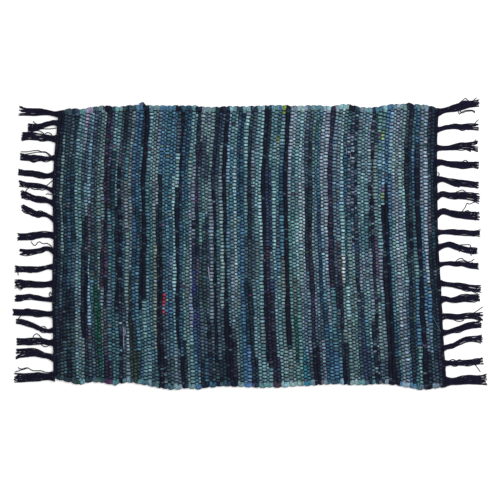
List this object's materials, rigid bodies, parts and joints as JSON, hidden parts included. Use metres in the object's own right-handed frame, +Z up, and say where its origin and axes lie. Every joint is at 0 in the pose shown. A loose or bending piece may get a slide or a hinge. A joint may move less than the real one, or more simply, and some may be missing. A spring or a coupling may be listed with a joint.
{
  "type": "rag rug",
  "caption": "Flat hand-woven rag rug in plain weave, striped in teal, sage, blue and black rags, with a dark heading and tied tassels at each end.",
  "frame": {"origin": "middle of the rug's box, on the floor that it lies on", "axes": "+X along the rug from the left fringe to the right one, +Y across it towards the far selvedge, +Z up out of the worn face"},
  "size_m": [1.0089, 0.6133, 0.006],
  "materials": {
    "rag_weave": "woven cotton rags in teal, sage, blue, lilac-grey and black, matt",
    "dark_cotton": "near-black cotton, matt"
  },
  "bodies": {
    "root": {"rug_field": "rag_weave", "heading_left": "dark_cotton", "heading_right": "dark_cotton"}
  },
  "joints": []
}
